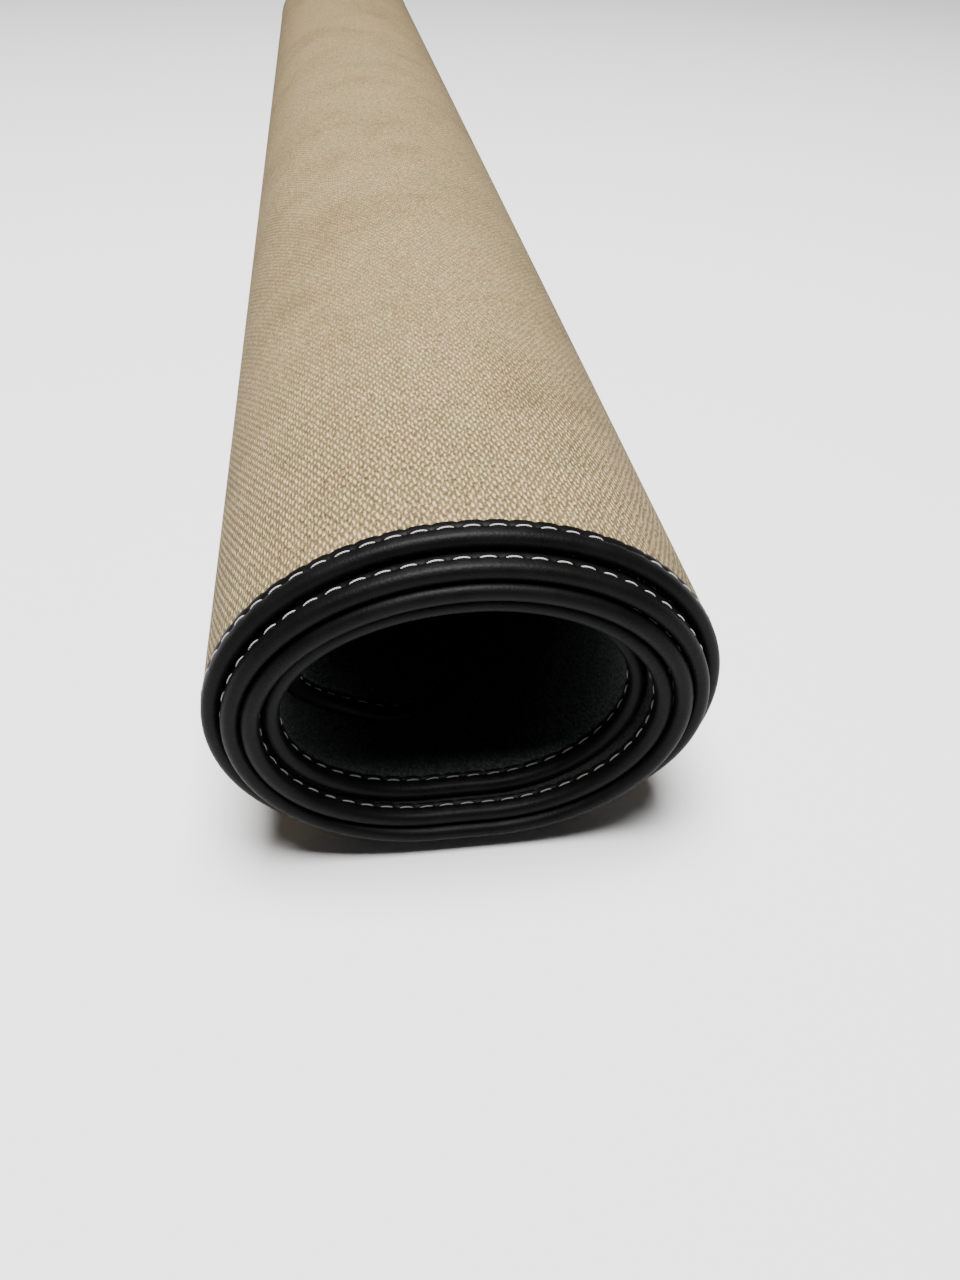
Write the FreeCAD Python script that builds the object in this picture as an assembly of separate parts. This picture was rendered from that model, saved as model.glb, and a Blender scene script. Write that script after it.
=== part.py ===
import FreeCAD
import Part
import math
import os

# Practice putting mat, rolled up and lying on its side.
# A laminated sheet (turf pile, carrier cloth, cushion core, twill backing) is
# rolled about five turns with the pile inside. A tape folded over the edge and
# held by a lockstitch binds it all round. The last piece of the outer turn is
# free to peel away from the roll, in two hinged spans.
#
# Frame: the roll's axis is Y, X is across it, Z is up, and the roll stands on Z = 0.
# Turn angle: 0 is the right side seen along +Y, and it grows through the top as
# the sheet winds inward, so 90 is the top and 270 the bottom of the outer turn.
# Sheet coordinates: s along the sheet from the outer free end, a across it from
# the near side, n through it from the backing's face to the tips of the pile.

# ---- driving dimensions, mm ----
SHEET_WIDTH = 914.0          # mat width, which is the length of the roll
PITCH = 4.2                  # from one turn to the next
HALF_WIDTH = 59.6            # outer oval of the roll, half its width
HALF_HEIGHT = 48.0           # and half its height
FLAT_HALF = 6.0              # half the width that lies flat on the ground
OUTER_END = -50.0            # turn angle of the outer free end, degrees
HINGES = (40.0, -10.0)       # turn angles of the free end's two fold lines
INNER_END = 1715.0           # turn angle of the inner free end
CORNER = 25.0                # radius of the mat's corners
HINGE_GAP = 0.3              # clearance at a fold line

# through the sheet, from the backing's face
BACKING = 0.6
CORE = 1.5
CARRIER = 0.3
PILE = 1.6
SHEET = BACKING + CORE + CARRIER + PILE
TAPE = 0.6                   # the binding tape's thickness
TAPE_LEG = 5.0               # from the bound edge to the tape's own edge
JOGGLE = 0.6                 # length of the step where the backing dips under it
TURN_IN = 2.1                # the sheet's raw edge inside the fold
STITCH_AT = 3.7              # the seam's distance from the bound edge
THREAD = 0.5                 # thread width
THREAD_DEEP = 0.3            # and how far it is pulled into the tape
MARGIN_BACKING = 0.5         # the backing's thickness, squeezed under the tape
PILE_GAP = 0.1               # between the tape and the pile that is cut back for it

# how far each part of the spiral stands back from the foremost turn, by turn angle
STAGGER = ((-60, 8.0), (-20, 8.0), (40, 7.4), (90, 6.8), (180, 5.3), (250, 7.3),
           (290, 7.3), (360, 2.0), (450, 2.0), (630, 2.4), (720, 0.4), (810, 0.6),
           (900, 1.5), (990, 4.0), (1080, 1.8), (1170, 2.6), (1260, 5.0), (1350, 9.2),
           (1440, 9.0), (1530, 12.0), (1580, 13.0), (1680, 30.0), (1800, 30.0))

FLAT_ANGLE = 6.3             # half the turn angle that the flat takes
STEP = 4.0                   # turn angle between samples
Y_NEAR = -(SHEET_WIDTH + STAGGER[-1][1]) / 2


# ---- the spiral ----
def stagger(angle):
    for (p, low), (q, high) in zip(STAGGER, STAGGER[1:]):
        if angle <= q:
            u = min(1.0, max(0.0, (angle - p) / (q - p)))
            return low + (high - low) * u * u * (3 - 2 * u)
    return STAGGER[-1][1]


def oval(angle):
    """A point of the outer oval and its inward normal, at a turn angle."""
    b = angle % 360.0
    edge = 270.0 - FLAT_ANGLE
    if b <= 180.0:
        t, half, side = math.radians(b), HALF_WIDTH, 0.0
    elif b < edge:
        t = math.radians(180.0 + 90.0 * (b - 180.0) / (edge - 180.0))
        half, side = HALF_WIDTH - FLAT_HALF, -FLAT_HALF
    elif b <= 270.0 + FLAT_ANGLE:
        x = (b - 270.0) / FLAT_ANGLE * FLAT_HALF
        return x, -HALF_HEIGHT, 0.0, 1.0
    else:
        t = math.radians(270.0 + 90.0 * (b - 270.0 - FLAT_ANGLE) / (90.0 - FLAT_ANGLE))
        half, side = HALF_WIDTH - FLAT_HALF, FLAT_HALF
    c, s = math.cos(t), math.sin(t)
    nx, nz = -HALF_HEIGHT * c, -half * s
    size = math.hypot(nx, nz)
    return side + half * c, HALF_HEIGHT * s, nx / size, nz / size


def depth(angle):
    """How far the turn lies inside the oval. It is constant along the flat."""
    turn = math.floor((angle - 270.0) / 360.0)
    b = angle - 270.0 - 360.0 * turn
    run = 360.0 - 2 * FLAT_ANGLE
    u = min(1.0, max(0.0, (b - FLAT_ANGLE) / run))
    at_zero = (90.0 - FLAT_ANGLE) / run
    return PITCH * (turn + 1 + u - at_zero)


Z_BASE = HALF_HEIGHT - depth(270.0)    # the outer turn's flat comes to Z = 0


def section(angle, n):
    x, z, nx, nz = oval(angle)
    d = depth(angle) + n
    return x + nx * d, z + nz * d + Z_BASE


def length_table():
    rows, total = [(0.0, OUTER_END)], 0.0
    x, z = section(OUTER_END, SHEET / 2)
    angle = OUTER_END
    while angle < INNER_END + 12:
        angle += 1.0
        p, q = section(angle, SHEET / 2)
        total += math.hypot(p - x, q - z)
        rows.append((total, angle))
        x, z = p, q
    return rows


TABLE = length_table()


def angle_at(s):
    """Turn angle of a place along the sheet."""
    low, high = 0, len(TABLE) - 1
    while high - low > 1:
        mid = (low + high) // 2
        if TABLE[mid][0] <= s:
            low = mid
        else:
            high = mid
    (a, p), (b, q) = TABLE[low], TABLE[high]
    return p + (q - p) * (s - a) / (b - a)


def place_at(angle):
    """Distance along the sheet of a turn angle."""
    i = int(angle - OUTER_END)
    i = min(max(i, 0), len(TABLE) - 2)
    return TABLE[i][0] + (TABLE[i + 1][0] - TABLE[i][0]) * (angle - TABLE[i][1])


SHEET_LENGTH = place_at(INNER_END)


def roll_up(s, a, n):
    angle = angle_at(s)
    x, z = section(angle, n)
    return FreeCAD.Vector(x - X_MID, Y_NEAR + stagger(angle) + a, z)


X_MID = (section(0, 0)[0] + section(180, 0)[0]) / 2


# ---- the near side's edge line, with the mat's rounded corners ----
def corner_run(at_end):
    """Samples of the line round a corner: s, a and the inward direction."""
    run = []
    for i in range(11):
        t = math.radians(9.0 * i)
        c, s = math.cos(t), math.sin(t)
        if at_end:
            run.append((SHEET_LENGTH - CORNER + CORNER * s, CORNER - CORNER * c, -s, c))
        else:
            run.append((CORNER - CORNER * s, CORNER - CORNER * c, s, c))
    return run


def straight_run(start, end):
    count = max(2, int(round((place_at(end) - place_at(start)) / 3.6)))
    first, last = place_at(start), place_at(end)
    return [(first + (last - first) * i / count, 0.0, 0.0, 1.0) for i in range(count + 1)]


def edge_line(start, end):
    """Runs of samples between two turn angles; each run makes its own faces."""
    runs = []
    if start == OUTER_END:
        run = list(reversed(corner_run(False)))
        run += straight_run(angle_at(CORNER), end)[1:]
        return [run]
    flat = (270.0 - FLAT_ANGLE, 270.0 + FLAT_ANGLE)
    if end != INNER_END:
        return [straight_run(start, end)]
    runs.append(straight_run(start, flat[0]))
    ends = [straight_run(flat[0], flat[1])[0], straight_run(flat[0], flat[1])[-1]]
    runs.append(ends)
    last = straight_run(flat[1], angle_at(SHEET_LENGTH - CORNER))
    runs.append(last + corner_run(True)[1:])
    return runs


def along(run, n, w, far):
    points = []
    for s, a, ds, da in run:
        across = a + da * w
        points.append(roll_up(s + ds * w, SHEET_WIDTH - across if far else across, n))
    if len(points) == 2:
        return Part.LineSegment(points[0], points[1]).toShape()
    curve = Part.BSplineCurve()
    marks = [float(i) for i in range(len(points))]
    curve.interpolate(Points=points, Parameters=marks)
    return curve.toShape()


def skin(one, two):
    """The straight-ruled face between two edges that share their knots."""
    if isinstance(one.Curve, Part.Line):
        p, q = start_of(one), end_of(one)
        r, s = end_of(two), start_of(two)
        return polygon([p, q, r, s]) if flat_four(p, q, r, s) else quad(p, q, r, s)
    low, high = one.Curve, two.Curve
    face = Part.BSplineSurface()
    face.buildFromPolesMultsKnots([low.getPoles(), high.getPoles()], [2, 2],
                                  low.getMultiplicities(), [0.0, 1.0], low.getKnots(),
                                  False, False, 1, low.Degree)
    return face.toShape()


def flat_four(p, q, r, s):
    normal = (q - p).cross(s - p)
    return abs((r - p).dot(normal)) < 1e-6 * max(1e-9, normal.Length)


def polygon(points):
    return Part.Face(Part.makePolygon(points + [points[0]]))


def quad(p, q, r, s):
    face = Part.BSplineSurface()
    face.buildFromPolesMultsKnots([[p, q], [s, r]], [2, 2], [2, 2], [0.0, 1.0], [0.0, 1.0],
                                  False, False, 1, 1)
    return face.toShape()


def close_up(faces, name):
    shell = Part.makeShell(faces)
    shell.sewShape()
    solid = Part.Solid(shell)
    if solid.Volume < 0:
        solid.reverse()
    if not solid.isValid():
        solid.fix(0.001, 0.001, 0.001)
    print(name, "valid" if solid.isValid() else "NOT VALID", round(solid.Volume, 1),
          "faces", len(solid.Faces))
    return solid


def start_of(edge):
    return edge.valueAt(edge.FirstParameter)


def end_of(edge):
    return edge.valueAt(edge.LastParameter)


def layer(profile, start, end, name):
    """A layer of the sheet. profile runs (n, w) up its near edge; the far edge mirrors it."""
    faces = []
    runs = edge_line(start, end)
    near = [[along(run, n, w, False) for n, w in profile] for run in runs]
    far = [[along(run, n, w, True) for n, w in profile] for run in runs]
    last = len(profile) - 1
    for one, two in zip(near, far):
        for i in range(last):
            faces.append(skin(one[i], one[i + 1]))
            faces.append(skin(two[i], two[i + 1]))
        faces.append(skin(one[0], two[0]))
        faces.append(skin(one[last], two[last]))
    for edges, mates, at, bound in ((near[0], far[0], start_of, start == OUTER_END),
                                    (near[-1], far[-1], end_of, end == INNER_END)):
        if bound:
            for i in range(last):
                faces.append(quad(at(edges[i]), at(edges[i + 1]),
                                  at(mates[i + 1]), at(mates[i])))
        else:
            ring = [at(e) for e in edges] + [at(e) for e in reversed(mates)]
            faces.append(polygon(ring))
    return close_up(faces, name)


def strip(profile, start, end, far, name):
    """A tape or thread that follows a side edge. profile is its closed section (n, w)."""
    faces = []
    runs = edge_line(start, end)
    rails = [[along(run, n, w, far) for n, w in profile] for run in runs]
    for edges in rails:
        for i in range(len(profile)):
            faces.append(skin(edges[i], edges[(i + 1) % len(profile)]))
    faces.append(polygon([start_of(e) for e in rails[0]]))
    faces.append(polygon([end_of(e) for e in rails[-1]]))
    return close_up(faces, name)


def end_strip(profile, at_end, name):
    """A tape or thread straight across an end of the mat, between its corners."""
    points = []
    for n, w in profile:
        s = SHEET_LENGTH - w if at_end else w
        points.append(roll_up(s, CORNER, n))
    face = polygon(points)
    solid = face.extrude(FreeCAD.Vector(0, SHEET_WIDTH - 2 * CORNER, 0))
    print(name, "valid" if solid.isValid() else "NOT VALID", round(solid.Volume, 1))
    return solid


# ---- sections ----
def nose(radius, centre, count):
    """Half round from the backing's side to the pile's side, as (n, w) points."""
    mid = SHEET / 2
    return [(mid - radius * math.cos(math.pi * i / count),
             centre - radius * math.sin(math.pi * i / count)) for i in range(1, count)]


def tape_section():
    low, high = STITCH_AT - THREAD / 2, STITCH_AT + THREAD / 2
    r = SHEET / 2
    outside = [(0, TAPE_LEG), (0, high), (THREAD_DEEP, high), (THREAD_DEEP, low), (0, low),
               (0, r)]
    outside += nose(r, r, 6)
    outside += [(SHEET, r), (SHEET, low), (SHEET - THREAD_DEEP, low),
                (SHEET - THREAD_DEEP, high), (SHEET, high), (SHEET, TAPE_LEG)]
    inside = [(SHEET - TAPE, TAPE_LEG), (SHEET - TAPE, r)]
    inside += list(reversed(nose(r - TAPE, r, 6)))
    inside += [(TAPE, r), (TAPE, TAPE_LEG)]
    return outside + inside


def thread_section(pile_side):
    low, high = STITCH_AT - THREAD / 2, STITCH_AT + THREAD / 2
    if pile_side:
        return [(SHEET - THREAD_DEEP, low), (SHEET, low), (SHEET, high),
                (SHEET - THREAD_DEEP, high)]
    return [(0, low), (THREAD_DEEP, low), (THREAD_DEEP, high), (0, high)]


N1 = BACKING
N2 = N1 + CORE
N3 = N2 + CARRIER
DIP = TAPE_LEG + JOGGLE
PILE_CUT = SHEET - TAPE - PILE_GAP
LAYERS = {
    "twill_backing": [(0, TAPE_LEG), (TAPE, TAPE_LEG), (TAPE, TURN_IN),
                      (TAPE + MARGIN_BACKING, TURN_IN), (TAPE + MARGIN_BACKING, DIP),
                      (N1, DIP)],
    "cushion_core": [(N1, DIP), (TAPE + MARGIN_BACKING, DIP),
                     (TAPE + MARGIN_BACKING, TURN_IN), (N2, TURN_IN)],
    "carrier_cloth": [(N2, TURN_IN), (N3, TURN_IN)],
    "turf_pile": [(N3, TURN_IN), (PILE_CUT, TURN_IN), (PILE_CUT, TAPE_LEG + PILE_GAP),
                  (SHEET, TAPE_LEG + PILE_GAP)],
}

# name ending, first and last turn angle of each body's stretch of the sheet
GAP_ANGLE = HINGE_GAP / 0.98
STRETCHES = (("", HINGES[0], INNER_END),
             ("_flap1", HINGES[1], HINGES[0] - GAP_ANGLE),
             ("_flap2", OUTER_END, HINGES[1] - GAP_ANGLE))


def build():
    os.makedirs("parts", exist_ok=True)
    made = {}
    for ending, start, end in STRETCHES:
        for name, profile in LAYERS.items():
            made[name + ending] = layer(profile, start, end, name + ending)
        for side, far in (("near", False), ("far", True)):
            name = side + "_side_tape" + ending
            made[name] = strip(tape_section(), start, end, far, name)
            for kind, pile_side in (("needle", True), ("bobbin", False)):
                name = side + "_" + kind + "_thread" + ending
                made[name] = strip(thread_section(pile_side), start, end, far, name)
    for side, at_end in (("inner", True), ("outer", False)):
        name = side + "_end_tape"
        made[name] = end_strip(tape_section(), at_end, name)
        for kind, pile_side in (("needle", True), ("bobbin", False)):
            name = side + "_" + kind + "_thread"
            made[name] = end_strip(thread_section(pile_side), at_end, name)
    box = FreeCAD.BoundBox()
    for name, shape in made.items():
        shape.exportStep("parts/" + name + ".step")
        box.add(shape.BoundBox)
    print("nodes", len(made), "sheet length", round(SHEET_LENGTH, 1))
    print("box", [round(v, 2) for v in (box.XMin, box.XMax, box.YMin, box.YMax,
                                        box.ZMin, box.ZMax)])
    for angle in HINGES:
        p = roll_up(place_at(angle), 0, 0)
        print("fold line at", angle, "x", round(p.x, 3), "z", round(p.z, 3))


build()
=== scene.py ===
import math

import bpy
import numpy as np
from mathutils import Euler, Matrix, Vector


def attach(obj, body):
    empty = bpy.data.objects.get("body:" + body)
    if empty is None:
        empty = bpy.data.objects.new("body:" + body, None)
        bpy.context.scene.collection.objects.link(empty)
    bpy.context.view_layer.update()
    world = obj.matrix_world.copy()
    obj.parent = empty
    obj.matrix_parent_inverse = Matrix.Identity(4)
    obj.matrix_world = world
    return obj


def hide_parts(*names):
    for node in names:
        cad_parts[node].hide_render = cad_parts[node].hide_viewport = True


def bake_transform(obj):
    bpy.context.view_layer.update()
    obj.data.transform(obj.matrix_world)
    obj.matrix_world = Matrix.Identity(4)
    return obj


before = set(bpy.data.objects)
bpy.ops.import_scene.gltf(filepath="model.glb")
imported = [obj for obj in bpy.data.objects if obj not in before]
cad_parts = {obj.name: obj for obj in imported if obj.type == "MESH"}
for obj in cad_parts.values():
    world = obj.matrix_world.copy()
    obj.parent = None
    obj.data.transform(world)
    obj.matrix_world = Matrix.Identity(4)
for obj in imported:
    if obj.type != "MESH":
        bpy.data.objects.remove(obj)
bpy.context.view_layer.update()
MM = 0.001

# ---- the sheet and its roll, in millimetres, the same figures as the CAD ----
SHEET_WIDTH, PITCH = 914.0, 4.2
HALF_WIDTH, HALF_HEIGHT, FLAT_HALF, FLAT_ANGLE = 59.6, 48.0, 6.0, 6.3
OUTER_END, INNER_END, HINGES = -50.0, 1715.0, (40.0, -10.0)
CORNER = 25.0
SHEET, TAPE, TAPE_LEG, STITCH_AT = 4.0, 0.6, 5.0, 3.7
STAGGER = ((-60, 8.0), (-20, 8.0), (40, 7.4), (90, 6.8), (180, 5.3), (250, 7.3),
           (290, 7.3), (360, 2.0), (450, 2.0), (630, 2.4), (720, 0.4), (810, 0.6),
           (900, 1.5), (990, 4.0), (1080, 1.8), (1170, 2.6), (1260, 5.0), (1350, 9.2),
           (1440, 9.0), (1530, 12.0), (1580, 13.0), (1680, 30.0), (1800, 30.0))
Y_NEAR = -(SHEET_WIDTH + STAGGER[-1][1]) / 2
STITCH = 5.1                 # stitch length along the edge
WIDER = (0.8, 2.0)           # added to the tape's outer leg on the outermost and other turns
WIDENING = (305.0, 30.0)     # turn angle where the second begins, and how long it takes
SHOWN = 0.82                 # share of a stitch's length that its thread spans
THREAD_RADIUS = 0.20
HOLE, PUCKER = 0.62, 1.3     # half widths of a needle hole's dimple and of the tape's pucker
GRAIN_ALONG, GRAIN_ACROSS = 1.64, 3.4   # spacing of the cloth's grains


def stagger(angle):
    knots = np.array(STAGGER, float)
    i = np.clip(np.searchsorted(knots[:, 0], angle) - 1, 0, len(knots) - 2)
    u = np.clip((angle - knots[i, 0]) / (knots[i + 1, 0] - knots[i, 0]), 0, 1)
    return knots[i, 1] + (knots[i + 1, 1] - knots[i, 1]) * u * u * (3 - 2 * u)


def oval(angle):
    b = np.mod(angle, 360.0)
    edge = 270.0 - FLAT_ANGLE
    quarter = 90.0 - FLAT_ANGLE
    t = np.where(b <= 180, b, np.where(b < edge, 180 + 90 * (b - 180) / quarter,
                 np.where(b <= 270 + FLAT_ANGLE, 270.0,
                          270 + 90 * (b - 270 - FLAT_ANGLE) / quarter)))
    half = np.where(b <= 180, HALF_WIDTH, HALF_WIDTH - FLAT_HALF)
    side = np.where(b <= 180, 0.0, np.where(b < edge, -FLAT_HALF, np.where(
        b <= 270 + FLAT_ANGLE, (b - 270) / FLAT_ANGLE * FLAT_HALF, FLAT_HALF)))
    c, s = np.cos(np.radians(t)), np.sin(np.radians(t))
    c = np.where(t == 270, 0.0, c)
    nx, nz = -HALF_HEIGHT * c, -half * s
    size = np.hypot(nx, nz)
    return side + half * c, HALF_HEIGHT * s, nx / size, nz / size


def depth(angle):
    turn = np.floor((angle - 270.0) / 360.0)
    b = angle - 270.0 - 360.0 * turn
    run = 360.0 - 2 * FLAT_ANGLE
    u = np.clip((b - FLAT_ANGLE) / run, 0, 1)
    return PITCH * (turn + 1 + u - (90.0 - FLAT_ANGLE) / run)


Z_BASE = HALF_HEIGHT - float(depth(np.array(270.0)))


def section(angle, n):
    x, z, nx, nz = oval(angle)
    d = depth(angle) + n
    return x + nx * d, z + nz * d + Z_BASE


X_MID = float(section(np.array(0.0), 0)[0] + section(np.array(180.0), 0)[0]) / 2
ANGLES = np.arange(OUTER_END, INNER_END + 13.0, 1.0)
_x, _z = section(ANGLES, SHEET / 2)
PLACES = np.concatenate([[0.0], np.cumsum(np.hypot(np.diff(_x), np.diff(_z)))])
SHEET_LENGTH = float(np.interp(INNER_END, ANGLES, PLACES))


def place_at(angle):
    return float(np.interp(angle, ANGLES, PLACES))


def roll_up(s, a, n):
    """Sheet coordinates in mm to points of the row frame in metres."""
    s, a, n = np.broadcast_arrays(np.asarray(s, float), a, n)
    angle = np.interp(s, PLACES, ANGLES)
    x, z = section(angle, n)
    return np.stack([x - X_MID, Y_NEAR + stagger(angle) + a, z], -1) * MM


# ---- meshes ----
def new_mesh(name, verts, faces, uvs):
    """A smooth shaded object. uvs holds one pair for each vertex."""
    mesh = bpy.data.meshes.new(name)
    mesh.from_pydata(np.asarray(verts).reshape(-1, 3).tolist(), [], faces)
    layer = mesh.uv_layers.new(name="UVMap")
    loops = np.empty(len(mesh.loops), np.int32)
    mesh.loops.foreach_get("vertex_index", loops)
    layer.data.foreach_set("uv", np.asarray(uvs, np.float32).reshape(-1, 2)[loops].ravel())
    mesh.polygons.foreach_set("use_smooth", [True] * len(mesh.polygons))
    mesh.update()
    obj = bpy.data.objects.new(name, mesh)
    bpy.context.scene.collection.objects.link(obj)
    return obj


def crease(mesh, pairs):
    """Marks edges sharp, given as pairs of vertices."""
    ends = np.empty(2 * len(mesh.edges), np.int64)
    mesh.edges.foreach_get("vertices", ends)
    ends = np.sort(ends.reshape(-1, 2), 1)
    pairs = np.sort(pairs, 1)
    size = len(mesh.vertices)
    mask = np.isin(ends[:, 0] * size + ends[:, 1], pairs[:, 0] * size + pairs[:, 1])
    mesh.edges.foreach_set("use_edge_sharp", mask)


def lattice_faces(rows, cols, wrap):
    """Quads of a rows x cols grid; wrap joins the last column to the first."""
    i = np.arange(rows - 1)[:, None]
    j = np.arange(cols if wrap else cols - 1)[None, :]
    k = (j + 1) % cols
    quads = np.stack([i * cols + j, (i + 1) * cols + j, (i + 1) * cols + k, i * cols + k], -1)
    return quads.reshape(-1, 4).tolist()


def edge_path(first, last, step, far):
    """Samples along a side's bound edge between two places, with rounded corners.
    Each is s, a, the inward direction, and the distance along the edge."""
    turn = CORNER * math.pi / 2
    straight = SHEET_LENGTH - 2 * CORNER
    low = -turn if first <= 0 else first - CORNER
    high = straight + turn if last >= SHEET_LENGTH else last - CORNER
    count = max(3, int(round((high - low) / step)))
    t = np.linspace(low, high, count + 1)
    arc = np.where(t < 0, -t, np.where(t > straight, t - straight, 0.0)) / CORNER
    sign = np.where(t < 0, -1.0, 1.0)
    s = np.clip(t, 0, straight) + CORNER + sign * CORNER * np.sin(arc)
    a = CORNER * (1 - np.cos(arc))
    ds, da = -sign * np.sin(arc), np.cos(arc)
    if far:
        a, da = SHEET_WIDTH - a, -da
    return s, a, ds, da, t


def end_path(at_end, step):
    count = int(round((SHEET_WIDTH - 2 * CORNER) / step))
    a = np.linspace(CORNER, SHEET_WIDTH - CORNER, count + 1)
    s = np.full_like(a, SHEET_LENGTH if at_end else 0.0)
    return s, a, np.full_like(a, -1.0 if at_end else 1.0), np.zeros_like(a), a


def swept(name, path, n, w):
    """A mesh whose section (n, w), one row for each sample, follows a path."""
    s, a, ds, da, t = path
    points = roll_up(s[:, None] + ds[:, None] * w, a[:, None] + da[:, None] * w, n)
    rows, cols = n.shape
    faces = lattice_faces(rows, cols, True)
    uvs = np.stack([np.repeat(t[:, None], cols, 1) * MM,
                    np.cumsum(np.hypot(np.diff(n[0], prepend=n[0, :1]),
                                       np.diff(w[0], prepend=w[0, :1])))[None, :]
                    .repeat(rows, 0) * MM], -1)
    rings = np.array([range(cols), range((rows - 1) * cols, rows * cols)])
    faces += [rings[0].tolist(), rings[1][::-1].tolist()]
    obj = new_mesh(name, points, faces, uvs)
    crease(obj.data, np.stack([rings, np.roll(rings, -1, 1)], -1).reshape(-1, 2))
    return obj


EASE = (0.0, 0.12, 0.5, 1.4)  # distances of the first rows from a slab's end


def slab(name, first, last, step, columns, n_low, n_high, inset_near):
    """A layer of the sheet between two places. columns are distances from the near edge's
    inset; n_low and n_high are functions of the distance from the nearest bound edge."""
    count = max(2, int(round((last - first - 2 * EASE[-1]) / step)))
    ease = np.array(EASE)
    middle = np.linspace(first + EASE[-1], last - EASE[-1], count + 1)
    s = np.concatenate([first + ease[:-1], middle, last - ease[-2::-1]])
    corner_rows = CORNER * (1 - np.sin(np.linspace(0, math.pi / 2, 12)))
    if last >= SHEET_LENGTH:
        s = np.unique(np.concatenate([s, SHEET_LENGTH - inset_near - corner_rows]))
        s = s[s <= SHEET_LENGTH - inset_near]
    if first <= 0:
        s = np.unique(np.concatenate([s, inset_near + corner_rows]))
        s = s[s >= inset_near]
    radius = CORNER - inset_near
    over = np.maximum(0, np.maximum(CORNER - s, s - (SHEET_LENGTH - CORNER)))
    over = np.minimum(over, radius)
    start = inset_near + radius - np.sqrt(np.maximum(0, radius ** 2 - over ** 2))
    u = np.asarray(columns, float)
    u = (u - u[0]) / (u[-1] - u[0])
    span = SHEET_WIDTH - 2 * start
    a = start[:, None] + span[:, None] * u[None, :]
    end_gap = np.minimum(s, SHEET_LENGTH - s)[:, None]
    gap = np.minimum(np.minimum(a, SHEET_WIDTH - a), end_gap)
    ss = np.repeat(s[:, None], len(u), 1)
    low, high = n_low(gap, ss, a), n_high(gap, ss, a)
    outer, inner = roll_up(ss, a, low), roll_up(ss, a, high)
    rows, cols = ss.shape
    verts = np.concatenate([outer.reshape(-1, 3), inner.reshape(-1, 3)])
    size = rows * cols
    faces = [f[::-1] for f in lattice_faces(rows, cols, False)]
    faces += [[v + size for v in f[::-1]] for f in faces]
    rim = list(range(cols)) + [i * cols + cols - 1 for i in range(1, rows)]
    rim += [(rows - 1) * cols + j for j in reversed(range(cols - 1))]
    rim += [i * cols for i in reversed(range(1, rows - 1))]
    pairs = np.array(list(zip(rim, rim[1:] + rim[:1])))
    faces += [[p, q, q + size, p + size] for p, q in pairs.tolist()]
    uv = np.stack([ss, a], -1).reshape(-1, 2) * MM
    obj = new_mesh(name, verts, faces, np.concatenate([uv, uv]))
    crease(obj.data, np.concatenate([pairs, pairs + size]))
    return obj


def spread(edge_steps, middle_step):
    """Columns across the sheet, close together at both edges."""
    near = np.cumsum([0.0] + list(edge_steps))
    count = int((SHEET_WIDTH - 2 * near[-1]) / middle_step)
    middle = np.linspace(near[-1], SHEET_WIDTH - near[-1], count + 1)
    return np.concatenate([near[:-1], middle, (SHEET_WIDTH - near[:-1])[::-1]])


def bump(x, width):
    return np.exp(-(x / width) ** 2)


def tape_profile(path, fine):
    """Section of the folded tape at each sample, with the leather drawn in at the seam."""
    t = path[4]
    r = SHEET / 2
    legs = [5.0, 4.86, 4.55, 4.2, 3.92, 3.7, 3.48, 3.1, 2.7, 2.3] if fine else [
        5.0, 4.8, 4.2, 3.7, 3.2, 2.4]
    turns = np.linspace(0, math.pi, 13 if fine else 9)
    n_out = [0.0] * len(legs) + [r - r * math.cos(x) for x in turns] + [SHEET] * len(legs)
    w_out = legs + [r - r * math.sin(x) * 0.96 for x in turns] + legs[::-1]
    n_in = [SHEET - TAPE, SHEET - TAPE, r, TAPE, TAPE]
    w_in = [4.95, 2.4, TAPE + 0.2, 2.4, 4.95]
    n = np.repeat(np.array(n_out + n_in)[None, :], len(t), 0)
    w = np.repeat(np.array(w_out + w_in)[None, :], len(t), 0)
    phase = np.mod(t / STITCH + 0.5, 1.0) - 0.5
    hole = bump(phase * STITCH, HOLE)[:, None]
    between = 1 - bump(phase * STITCH, PUCKER)[:, None]
    leg = len(legs)
    pile_leg = slice(leg + len(turns), 2 * leg + len(turns))
    for cols, sign in ((slice(0, leg), 1.0), (pile_leg, -1.0)):
        ww = w[:, cols]
        seam = bump(ww - STITCH_AT, 0.42)
        crown = bump(ww - 2.7, 0.7) * 0.10 + bump(ww - 4.6, 0.35) * 0.07
        lip = np.clip((ww - 4.7) / 0.3, 0, 1)
        n[:, cols] += sign * (seam * (0.16 + 0.30 * hole) - crown * (0.35 + 0.65 * between)
                              + lip * 0.16 * (0.4 + 0.6 * hole))
        w[:, cols] -= np.clip((ww - 4.2) / 0.8, 0, 1) * 0.34 * hole
    u = np.clip((np.interp(path[0], PLACES, ANGLES) - WIDENING[0]) / WIDENING[1], 0, 1)
    wider = (WIDER[0] + (WIDER[1] - WIDER[0]) * u * u * (3 - 2 * u))[:, None]
    w[:, :leg] += wider * np.clip((np.array(legs) - 4.0), 0, 1)
    w[:, -1:] += wider
    return n, w


def tape(name, path, fine):
    n, w = tape_profile(path, fine)
    return swept(name, path, n, w)


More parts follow.
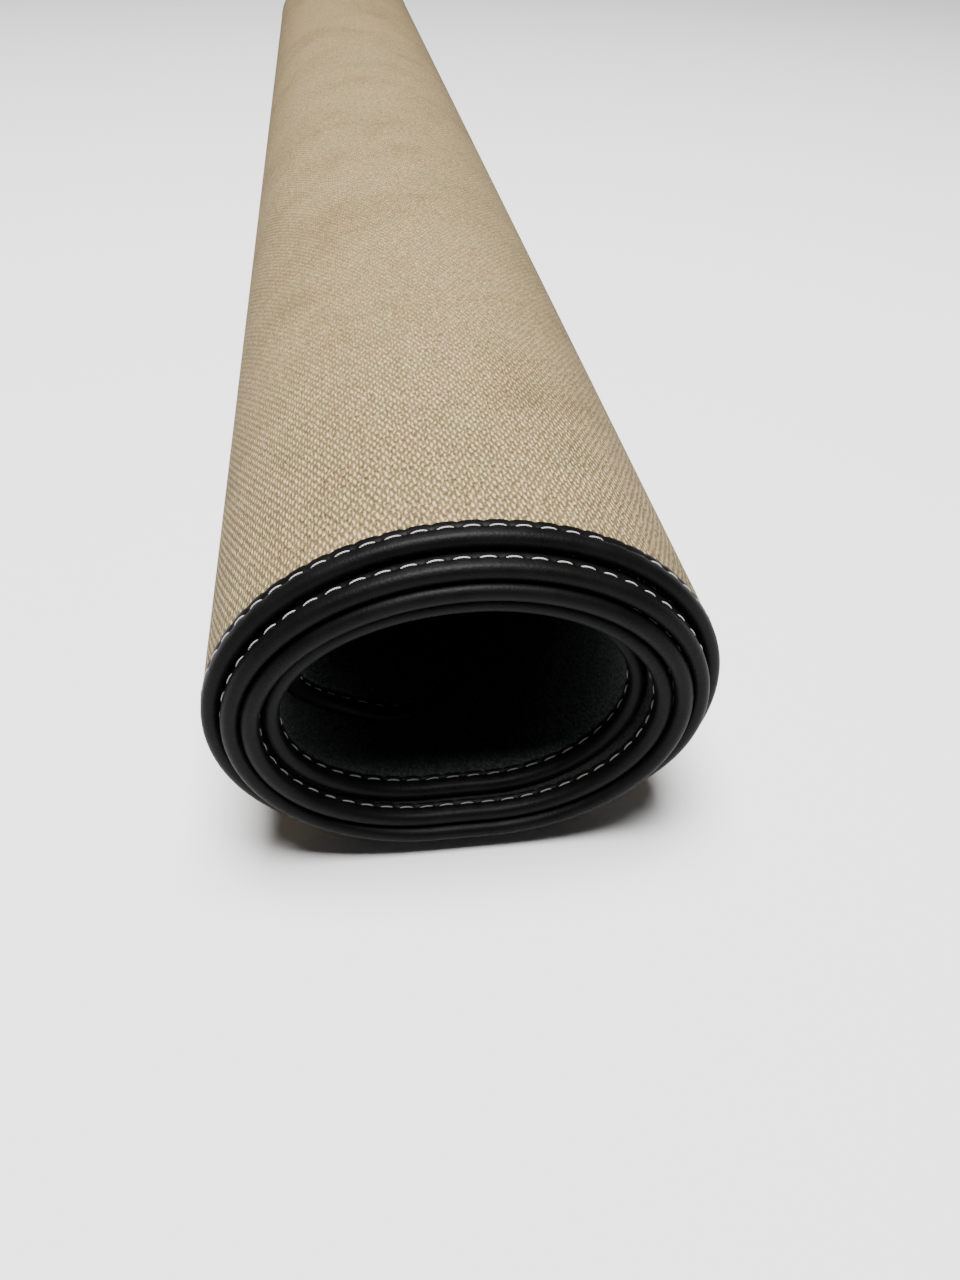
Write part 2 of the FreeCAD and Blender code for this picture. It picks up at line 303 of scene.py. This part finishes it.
def stitches(name, path, pile_side, ring=6, rings=7):
    """One short length of thread from hole to hole, dipping into the leather at both."""
    s, a, ds, da, t = path
    first, last = math.ceil(t[0] / STITCH + 0.02), math.floor(t[-1] / STITCH - 0.02)
    marks = np.arange(first, last)
    if len(marks) == 0:
        marks = np.array([first])
    rng = np.random.default_rng(int(abs(t[0]) * 10) % 9973 + (7 if pile_side else 3))
    along = np.linspace(-1, 1, rings)
    verts, faces, uvs = [], [], []
    around = np.linspace(0, 2 * math.pi, ring, endpoint=False)
    for m in marks:
        mid = (m + 0.5) * STITCH
        slant = 0.10 + rng.normal(0, 0.03)
        lift = rng.normal(0, 0.02)
        tt = mid + along * STITCH * 0.5 * SHOWN
        ww = STITCH_AT + along * slant * (1 if pile_side else -1)
        rise = 0.13 + lift - 0.62 * np.abs(along) ** 2.6
        fat = THREAD_RADIUS * np.sqrt(np.clip(1.02 - np.abs(along) ** 4, 0.12, 1))
        w_ring = ww[:, None] + fat[:, None] * np.cos(around)[None, :] * 1.05
        h_ring = rise[:, None] + fat[:, None] * np.sin(around)[None, :] * 0.8
        n_ring = SHEET + h_ring - 0.10 if pile_side else -h_ring + 0.10
        at = [np.interp(tt, t, k)[:, None] for k in (s, a, ds, da)]
        points = roll_up(at[0] + at[2] * w_ring, at[1] + at[3] * w_ring, n_ring)
        base = len(verts) * rings * ring
        verts.append(points.reshape(-1, 3))
        faces += [[base + v for v in f] for f in lattice_faces(rings, ring, True)]
        faces += [[base + j for j in range(ring)],
                  [base + (rings - 1) * ring + j for j in reversed(range(ring))]]
        uvs.append(np.stack(np.broadcast_arrays(tt[:, None] * MM, around[None, :] * 0.3 * MM),
                            -1).reshape(-1, 2))
    return new_mesh(name, np.concatenate(verts), faces, np.concatenate(uvs))


# ---- materials ----
def material(name):
    m = bpy.data.materials.new(name)
    m.use_nodes = True
    nodes = m.node_tree.nodes
    return m, m.node_tree, nodes["Principled BSDF"]


class Maths:
    """Short hand for math and texture nodes of one material."""

    def __init__(self, tree):
        self.tree = tree
        self.uv = tree.nodes.new("ShaderNodeUVMap")
        self.uv.uv_map = "UVMap"

    def op(self, kind, a, b=None, c=None):
        node = self.tree.nodes.new("ShaderNodeMath")
        node.operation = kind
        for i, v in enumerate((a, b, c)):
            if v is None:
                continue
            if hasattr(v, "is_linked"):
                self.tree.links.new(v, node.inputs[i])
            else:
                node.inputs[i].default_value = v
        return node.outputs[0]

    def split(self, scale):
        mapping = self.tree.nodes.new("ShaderNodeVectorMath")
        mapping.operation = "SCALE"
        mapping.inputs["Scale"].default_value = scale
        self.tree.links.new(self.uv.outputs[0], mapping.inputs[0])
        parts = self.tree.nodes.new("ShaderNodeSeparateXYZ")
        self.tree.links.new(mapping.outputs[0], parts.inputs[0])
        return parts.outputs[0], parts.outputs[1], mapping.outputs[0]

    def noise(self, scale, detail=3.0, rough=0.5, vector=None, stretch=None):
        node = self.tree.nodes.new("ShaderNodeTexNoise")
        node.inputs["Scale"].default_value = scale
        node.inputs["Detail"].default_value = detail
        node.inputs["Roughness"].default_value = rough
        source = vector
        if source is None:
            coordinates = self.tree.nodes.new("ShaderNodeTexCoord")
            source = coordinates.outputs["Object"]
        if stretch:
            mapping = self.tree.nodes.new("ShaderNodeMapping")
            mapping.inputs["Scale"].default_value = stretch
            self.tree.links.new(source, mapping.inputs[0])
            source = mapping.outputs[0]
        self.tree.links.new(source, node.inputs["Vector"])
        return node.outputs["Fac"]

    def voronoi(self, scale, feature="F1", vector=None):
        node = self.tree.nodes.new("ShaderNodeTexVoronoi")
        node.feature = feature
        node.inputs["Scale"].default_value = scale
        source = vector
        if source is None:
            coordinates = self.tree.nodes.new("ShaderNodeTexCoord")
            source = coordinates.outputs["Object"]
        self.tree.links.new(source, node.inputs["Vector"])
        return node.outputs["Distance"]

    def ramp(self, value, stops):
        node = self.tree.nodes.new("ShaderNodeValToRGB")
        ramp = node.color_ramp
        while len(ramp.elements) < len(stops):
            ramp.elements.new(0.5)
        for element, (at, colour) in zip(ramp.elements, stops):
            element.position = at
            element.color = (*colour, 1.0)
        self.tree.links.new(value, node.inputs[0])
        return node.outputs[0]

    def mix(self, factor, one, two, kind="MIX"):
        node = self.tree.nodes.new("ShaderNodeMix")
        node.data_type = "RGBA"
        node.blend_type = kind
        for socket, v in ((node.inputs["Factor"], factor), (node.inputs[6], one),
                          (node.inputs[7], two)):
            if hasattr(v, "is_linked"):
                self.tree.links.new(v, socket)
            else:
                socket.default_value = v if isinstance(v, float) else (*v, 1.0)
        return node.outputs[2]

    def bump(self, height, shader, distance, strength=1.0):
        node = self.tree.nodes.new("ShaderNodeBump")
        node.inputs["Strength"].default_value = strength
        node.inputs["Distance"].default_value = distance
        self.tree.links.new(height, node.inputs["Height"])
        self.tree.links.new(node.outputs[0], shader.inputs["Normal"])


def grey(value):
    return (value, value, value)


def twill_material():
    """Canvas with its grains in a staggered lattice, so that diagonal ribs show both ways.
    The ribs wear off away from the near edge, and painted shade darkens the cloth down the
    roll's sides."""
    m, tree, shader = material("twill_tan")
    k = Maths(tree)
    x, y, flat = k.split(1000.0)
    wander = k.noise(0.35, 3.0, 0.6, flat)
    sway = k.noise(0.04, 2.0, 0.5, flat)
    slub = k.noise(0.55, 3.0, 0.7, flat)
    bend = k.op("ADD", k.op("MULTIPLY", wander, 2.2), k.op("MULTIPLY", sway, 0.5))
    bend = k.op("ADD", bend, k.op("MULTIPLY", slub, 2.4))
    column = k.op("MULTIPLY", k.op("ADD", x, k.op("MULTIPLY", bend, 0.5)),
                  2 * math.pi / GRAIN_ALONG)
    row = k.op("MULTIPLY", k.op("ADD", y, bend), 2 * math.pi / GRAIN_ACROSS)
    grain = k.op("MULTIPLY", k.op("COSINE", column), k.op("COSINE", row))
    cord = k.op("COSINE", k.op("MULTIPLY", column, 2.0))
    grain = k.op("ADD", k.op("MULTIPLY", grain, 0.33), k.op("MULTIPLY", cord, 0.15))
    fade = k.ramp(k.op("MULTIPLY", y, 1 / 200.0), [(0.15, grey(1.0)), (0.60, grey(0.32))])
    grain = k.op("ADD", k.op("MULTIPLY", grain, fade), 0.5)
    fibre = k.noise(1.0, 3.0, 0.6, flat, (3.6, 1.2, 1.0))
    fuzz = k.noise(1.0, 3.0, 0.7, flat, (1.5, 0.8, 1.0))
    height = k.op("ADD", k.op("MULTIPLY", grain, 0.58),
                  k.op("ADD", k.op("MULTIPLY", fibre, 0.34), k.op("MULTIPLY", fuzz, 0.50)))
    height = k.op("ADD", height, k.op("MULTIPLY", slub, 0.40))
    height = k.op("SUBTRACT", height, 0.29)
    tone = k.ramp(height, [(0.28, (0.016, 0.010, 0.004)), (0.46, (0.070, 0.050, 0.023)),
                           (0.64, (0.160, 0.119, 0.059)), (0.86, (0.40, 0.315, 0.192))])
    stain = k.noise(0.022, 4.0, 0.6, flat)
    cloud = k.noise(0.16, 3.0, 0.6, flat)
    hue = k.ramp(k.noise(0.07, 3.0, 0.6, flat), [(0.40, (1.03, 0.985, 0.97)),
                                                 (0.60, (0.985, 1.01, 0.965))])
    shade = k.op("ADD", k.op("MULTIPLY", cloud, 0.46), 0.77)
    soil = k.ramp(stain, [(0.44, grey(1.03)), (0.56, (0.95, 0.945, 0.93)),
                          (0.70, (0.78, 0.775, 0.735))])
    tint = tree.nodes.new("ShaderNodeVectorMath")
    tint.operation = "SCALE"
    # painted shade: the cloth's colour is darkened away from the top of the outer turn, down
    # both sides of the roll where less light falls
    around = k.op("MULTIPLY", k.op("SUBTRACT", x, place_at(90.0) - 90.0), 1 / 180.0)
    painted_side_shade = k.ramp(around, [(at, grey(v)) for at, v in (
        (0.06, 0.62), (0.14, 0.68), (0.25, 0.84), (0.36, 0.96), (0.46, 1.0), (0.70, 1.0),
        (0.78, 0.91), (0.92, 0.78))])
    tone = k.mix(1.0, k.mix(1.0, tone, hue, "MULTIPLY"), soil, "MULTIPLY")
    tone = k.mix(1.0, tone, painted_side_shade, "MULTIPLY")
    tree.links.new(tone, tint.inputs[0])
    tree.links.new(shade, tint.inputs["Scale"])
    tree.links.new(tint.outputs[0], shader.inputs["Base Color"])
    shader.inputs["Roughness"].default_value = 0.92
    shader.inputs["Specular IOR Level"].default_value = 0.15
    k.bump(height, shader, 0.0006, 1.0)
    return m


def leather_material():
    m, tree, shader = material("leatherette_black")
    k = Maths(tree)
    grain = k.voronoi(1500.0)
    fine = k.noise(900.0, 4.0, 0.6)
    soft = k.noise(120.0, 3.0, 0.5)
    height = k.op("ADD", k.op("MULTIPLY", grain, 0.5),
                  k.op("ADD", k.op("MULTIPLY", fine, 0.35), k.op("MULTIPLY", soft, 0.9)))
    colour = k.ramp(soft, [(0.3, (0.0008, 0.0008, 0.0009)), (0.7, (0.0022, 0.0022, 0.0024))])
    tree.links.new(colour, shader.inputs["Base Color"])
    rough = k.op("ADD", k.op("MULTIPLY", fine, 0.16), 0.42)
    tree.links.new(rough, shader.inputs["Roughness"])
    shader.inputs["Specular IOR Level"].default_value = 0.068
    k.bump(height, shader, 0.00012, 0.6)
    return m


def thread_material(name, shade):
    """Twisted thread, darkened by the factor shade as painted shade, and by more painted shade
    towards the mat's inner end.
    """
    m, tree, shader = material(name)
    k = Maths(tree)
    x, y, _ = k.split(1000.0)
    twist = k.op("SINE", k.op("ADD", k.op("MULTIPLY", x, 2 * math.pi / 0.55),
                              k.op("MULTIPLY", y, 2 * math.pi / 0.95)))
    twist = k.op("ADD", k.op("MULTIPLY", twist, 0.5), 0.5)
    hair = k.noise(3000.0, 2.0, 0.6)
    height = k.op("ADD", k.op("MULTIPLY", twist, 0.7), k.op("MULTIPLY", hair, 0.3))
    colour = k.ramp(height, [(0.1, (0.15, 0.141, 0.124)), (0.8, (0.35, 0.330, 0.30))])
    # painted shade: the thread darkens towards the mat's inner end, deep in the roll's hollow
    inward = k.op("MULTIPLY", k.op("SUBTRACT", x, place_at(1300.0)), 1 / 300.0)
    inward_shade = k.ramp(inward, [(0.0, grey(shade)), (0.62, grey(shade * 0.7)),
                           (0.85, grey(shade * 0.2))])
    tree.links.new(k.mix(1.0, colour, inward_shade, "MULTIPLY"), shader.inputs["Base Color"])
    shader.inputs["Roughness"].default_value = 0.62
    shader.inputs["Sheen Weight"].default_value = 0.2
    k.bump(height, shader, 0.00010, 0.9)
    return m


def turf_material():
    """Short dense pile, with painted shade that makes it nearly black in the grooves between
    the outer turns.
    """
    m, tree, shader = material("turf_green")
    k = Maths(tree)
    x, _, flat = k.split(1000.0)
    tufts = k.voronoi(1.15, "F1", flat)
    blades = k.noise(3.2, 4.0, 0.7, flat)
    patch = k.noise(0.06, 3.0, 0.6, flat)
    height = k.op("ADD", k.op("MULTIPLY", k.op("SUBTRACT", 1.0, tufts), 0.6),
                  k.op("MULTIPLY", blades, 0.6))
    colour = k.ramp(height, [(0.25, (0.006, 0.008, 0.007)), (0.62, (0.020, 0.028, 0.023)),
                             (0.95, (0.050, 0.066, 0.055))])
    # painted shade: the pile is darkened to near black up to the innermost turn, where it lies
    # in the grooves between turns
    open_turn = k.op("MULTIPLY", k.op("SUBTRACT", x, place_at(1180.0)), 1 / 120.0)
    lit = k.ramp(open_turn, [(0.0, grey(0.22)), (1.0, grey(1.0))])
    shade = k.op("MULTIPLY", k.op("ADD", k.op("MULTIPLY", patch, 0.5), 0.72), lit)
    tint = tree.nodes.new("ShaderNodeVectorMath")
    tint.operation = "SCALE"
    tree.links.new(colour, tint.inputs[0])
    tree.links.new(shade, tint.inputs["Scale"])
    tree.links.new(tint.outputs[0], shader.inputs["Base Color"])
    shader.inputs["Roughness"].default_value = 0.88
    shader.inputs["Specular IOR Level"].default_value = 0.3
    k.bump(height, shader, 0.0007, 1.0)
    return m


def foam_material():
    m, tree, shader = material("foam_dark")
    k = Maths(tree)
    cells = k.voronoi(900.0)
    haze = k.noise(60.0, 3.0, 0.5)
    colour = k.ramp(cells, [(0.1, (0.012, 0.012, 0.013)), (0.7, (0.05, 0.05, 0.052))])
    tree.links.new(k.mix(0.3, colour, (0.03, 0.03, 0.03)), shader.inputs["Base Color"])
    tree.links.new(k.op("ADD", k.op("MULTIPLY", haze, 0.2), 0.7), shader.inputs["Roughness"])
    k.bump(cells, shader, 0.0003, 0.7)
    return m


def carrier_material():
    m, tree, shader = material("carrier_weave")
    k = Maths(tree)
    x, y, _ = k.split(1000.0)
    warp = k.op("ADD", k.op("MULTIPLY", k.op("SINE", k.op("MULTIPLY", x, 4.2)), 0.5), 0.5)
    weft = k.op("ADD", k.op("MULTIPLY", k.op("SINE", k.op("MULTIPLY", y, 4.2)), 0.5), 0.5)
    weave = k.op("MAXIMUM", warp, weft)
    colour = k.ramp(weave, [(0.2, (0.02, 0.03, 0.02)), (0.9, (0.10, 0.12, 0.09))])
    tree.links.new(colour, shader.inputs["Base Color"])
    shader.inputs["Roughness"].default_value = 0.8
    k.bump(weave, shader, 0.0003, 0.8)
    return m


# ---- the pieces ----
HINGE_PLACES = [place_at(a) for a in HINGES]
SPLIT_ONE = place_at(55.0)
SPLIT_TWO = (HINGE_PLACES[0] + HINGE_PLACES[1]) / 2
BEND = 11.0                  # half the length of sheet that bends at a fold line
SPANS = (("", SPLIT_ONE, SHEET_LENGTH), ("_flap1", SPLIT_TWO, SPLIT_ONE),
         ("_flap2", 0.0, SPLIT_TWO))
BODIES = {"": ("roll",), "_flap1": ("roll", "free_end_upper", HINGE_PLACES[0]),
          "_flap2": ("free_end_upper", "free_end_lower", HINGE_PLACES[1])}

TWILL, LEATHER = twill_material(), leather_material()
# The needle thread is the same thread with painted shade, for its stitches on the pile side
# inside the roll, in dim light; the inner end's thread has deep painted shade, for the dark
# hollow.
BOBBIN, NEEDLE = thread_material("thread_pale", 1.0), thread_material("thread_shaded", 0.45)
DEEP_SHADED_THREAD = thread_material("thread_deep_shaded", 0.13)
TURF, FOAM, CARRIER = turf_material(), foam_material(), carrier_material()


def settle(piece, node, ending, look):
    """Gives a piece its look, and has it follow its body; a piece between two bodies only has
    its transform baked in.
    """
    piece.data.materials.append(look)
    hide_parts(node)
    body = BODIES[ending]
    if len(body) == 1:
        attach(piece, body[0])
        return
    a, b, place = body
    start = roll_up(place + BEND, SHEET_WIDTH / 2, SHEET / 2)
    end = roll_up(place - BEND, SHEET_WIDTH / 2, SHEET / 2)
    start[1] = end[1] = 0.0
    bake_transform(piece)


def level(value):
    return lambda gap, s, a: np.full_like(gap, value)


def twill_top(gap, s, a):
    """The backing's outer face, which dips under the tape."""
    under = np.clip((5.5 - gap) / 0.7, 0, 1)
    return 0.06 + 0.34 * under


def turf_top(gap, s, a):
    """The pile's face: uneven tufts, pressed down under the tape."""
    under = np.clip((5.9 - gap) / 1.0, 0, 1)
    wave = 0.05 * np.sin(s * 1.9 + 1.3 * np.sin(a * 0.7)) * np.sin(a * 1.7 + np.sin(s * 0.8))
    return SHEET + 0.05 + wave * (1 - under) - 0.75 * under


EDGE = [0.35, 0.35, 0.5, 0.8, 1.5, 3.0, 5.0]
COLUMNS = spread(EDGE, 14.0)
COARSE = spread([2.0, 6.0], 60.0)
# name, slot, look, row step, columns, levels of its two faces, inset, what it lies on
LAYERS = (("twill_backing", "backing_twill", TWILL, 3.0, COLUMNS, twill_top, level(0.6),
           4.6, "cushion_core"),
          ("cushion_core", "cushion_foam", FOAM, 5.0, COARSE, level(0.66), level(2.06),
           2.2, "twill_backing"),
          ("carrier_cloth", "carrier_cloth", CARRIER, 5.0, COARSE, level(2.08), level(2.38),
           2.2, "cushion_core"),
          ("turf_pile", "turf_pile", TURF, 2.6, COLUMNS, level(2.4), turf_top,
           4.6, "carrier_cloth"))
for ending, first, last in SPANS:
    for name, slot, look, step, columns, low, high, inset, under in LAYERS:
        piece = slab(name + "_v" + ending, first, last, step, columns, low, high, inset)
        settle(piece, name + ending, ending, look)
    for side, far in (("near", False), ("far", True)):
        path = edge_path(first, last, STITCH / (6 if far else 10), far)
        name = side + "_side_tape"
        piece = tape(name + "_v" + ending, path, not far)
        settle(piece, name + ending, ending, LEATHER)
        for kind, pile_side in (("needle", True), ("bobbin", False)):
            name = side + "_" + kind + "_thread"
            piece = stitches(name + "_v" + ending, path, pile_side,
                             *((5, 5) if far else (8, 9)))
            settle(piece, name + ending, ending, NEEDLE if pile_side else BOBBIN)
    for side, at_end, where in (("inner", True, ""), ("outer", False, "_flap2")):
        if where != ending:
            continue
        path = end_path(at_end, STITCH / 6)
        piece = tape(side + "_end_tape_v", path, False)
        settle(piece, side + "_end_tape", ending, LEATHER)
        for kind, pile_side in (("needle", True), ("bobbin", False)):
            name = side + "_" + kind + "_thread"
            piece = stitches(name + "_v", path, pile_side, 6, 7)
            # the inner end's stitches take the thread with deep painted shade
            settle(piece, name, ending, DEEP_SHADED_THREAD if at_end else BOBBIN)


# ---- stage, light and camera ----
def floor():
    mesh = bpy.data.meshes.new("stage_floor")
    reach = 6.0
    corners = [(-reach, -reach, 0), (reach, -reach, 0), (reach, reach, 0), (-reach, reach, 0)]
    mesh.from_pydata(corners, [], [(0, 1, 2, 3)])
    obj = bpy.data.objects.new("stage_floor", mesh)
    bpy.context.scene.collection.objects.link(obj)
    m, _, shader = material("stage_pale")
    shader.inputs["Base Color"].default_value = (0.62, 0.62, 0.62, 1)
    shader.inputs["Roughness"].default_value = 0.9
    obj.data.materials.append(m)
    obj.location.z = -0.0004


def lamp(name, where, aim, size, power):
    light = bpy.data.lights.new(name, "AREA")
    light.shape = "RECTANGLE"
    light.size, light.size_y = size, size
    light.energy = power
    obj = bpy.data.objects.new(name, light)
    obj.location = where
    obj.rotation_euler = (Vector(aim) - Vector(where)).to_track_quat("-Z", "Y").to_euler()
    bpy.context.scene.collection.objects.link(obj)


def camera():
    """Looks down at the near end and along the roll."""
    pitch, yaw, tilt = math.radians(40.03), math.radians(8.77), math.radians(1.76)
    data = bpy.data.cameras.new("camera")
    data.sensor_fit = "HORIZONTAL"
    data.sensor_width = 36.0
    data.lens = 36.98
    data.clip_start = 0.01
    obj = bpy.data.objects.new("camera", data)
    obj.location = (-0.0225, -0.6226, 0.1990)
    level_turn = Euler((math.pi / 2 - pitch, 0.0, -yaw)).to_matrix()
    obj.rotation_euler = (level_turn @ Matrix.Rotation(tilt, 3, "Z")).to_euler()
    bpy.context.scene.collection.objects.link(obj)
    bpy.context.scene.camera = obj


floor()
world = bpy.data.worlds.new("world")
world.use_nodes = True
world.node_tree.nodes["Background"].inputs[0].default_value = (1, 1, 1, 1)
world.node_tree.nodes["Background"].inputs[1].default_value = 0.08
bpy.context.scene.world = world
lamp("key", (-0.06, -0.50, 1.8), (0, -0.2, 0), 0.9, 170.0)
lamp("fill", (1.6, 0.7, 1.3), (0, -0.1, 0), 1.4, 1.5)
camera()
